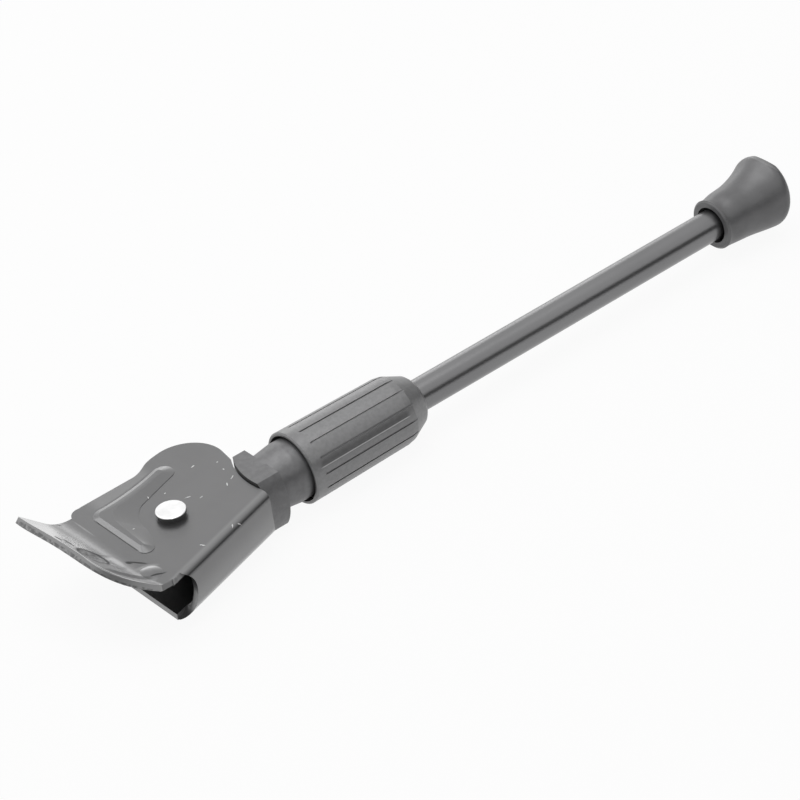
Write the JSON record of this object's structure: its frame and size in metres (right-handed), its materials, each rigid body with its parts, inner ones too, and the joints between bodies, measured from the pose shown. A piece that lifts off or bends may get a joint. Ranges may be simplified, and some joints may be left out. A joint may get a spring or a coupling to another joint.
{
  "type": "side kickstand",
  "caption": "Bicycle side kickstand: folded sheet bracket with a flared stay lip, riveted swing leg, ribbed twist-lock sleeve, telescoping round rod and a slanted rubber foot.",
  "frame": {"origin": "middle of the seat that takes the chain stay: the plane of the lower cheek's front edge, on the leg axis, half way between the cheeks", "axes": "+X along the leg from the seat to the foot, +Y to the bracket's open side, +Z out through the cheek with the flared lip"},
  "size_m": [0.329, 0.0623, 0.0348],
  "materials": {
    "bracket_paint": "semi-gloss dark grey paint",
    "rivet_zinc": "bright zinc plate",
    "bush_steel": "plain turned steel",
    "spring_steel": "oiled spring wire",
    "tube_paint": "satin dark grey paint",
    "pin_steel": "plain steel",
    "sleeve_plastic": "fine-grained moulded plastic",
    "collet_plastic": "plain moulded plastic",
    "rod_paint": "gloss dark grey paint",
    "guide_plastic": "plain moulded plastic",
    "foot_rubber": "satin moulded rubber"
  },
  "bodies": {
    "bracket": {"bracket": "bracket_paint", "pivot_rivet": "rivet_zinc"},
    "spring": {"return_spring": "spring_steel"},
    "bush": {"pivot_bush": "bush_steel"},
    "leg": {"leg_tube": "tube_paint", "anchor_pin": "pin_steel"},
    "rod": {"leg_rod": "rod_paint", "guide_bush": "guide_plastic", "rubber_foot": "foot_rubber"},
    "collet": {"clamp_collet": "collet_plastic"},
    "sleeve": {"adjust_sleeve": "sleeve_plastic"}
  },
  "joints": [
    {"name": "leg_swing", "type": "hinge", "parent": "bracket", "child": "spring", "pos_m": [0.021, 0, 0], "axis": [0, 0, 1], "range_deg": [0, 95], "deforming": ["return_spring"]},
    {"name": "bush_roll", "type": "hinge", "parent": "spring", "child": "bush", "pos_m": [0.021, 0, 0], "axis": [0, 0, 1], "range_deg": [0, 360]},
    {"name": "leg_lift", "type": "hinge", "parent": "bush", "child": "leg", "pos_m": [0.01325, 0, 0], "axis": [0, 0, 1], "range_deg": [-360, 0]},
    {"name": "rod_slide", "type": "slide", "parent": "leg", "child": "rod", "axis": [1, 0, 0], "range_m": [-0.012, 0.0115]},
    {"name": "collet_travel", "type": "slide", "parent": "leg", "child": "collet", "axis": [1, 0, 0], "range_m": [0, 0.0021]},
    {"name": "sleeve_turn", "type": "hinge", "parent": "collet", "child": "sleeve", "pos_m": [0.101, 0, 0], "axis": [1, 0, 0], "range_deg": [0, 360]}
  ],
  "couplings": [
    {"joint": "bush_roll", "follows": "leg_swing", "ratio": 3.7895},
    {"joint": "leg_lift", "follows": "leg_swing", "ratio": -3.7895},
    {"joint": "collet_travel", "follows": "sleeve_turn", "m_per_rad": 0.00031831}
  ]
}
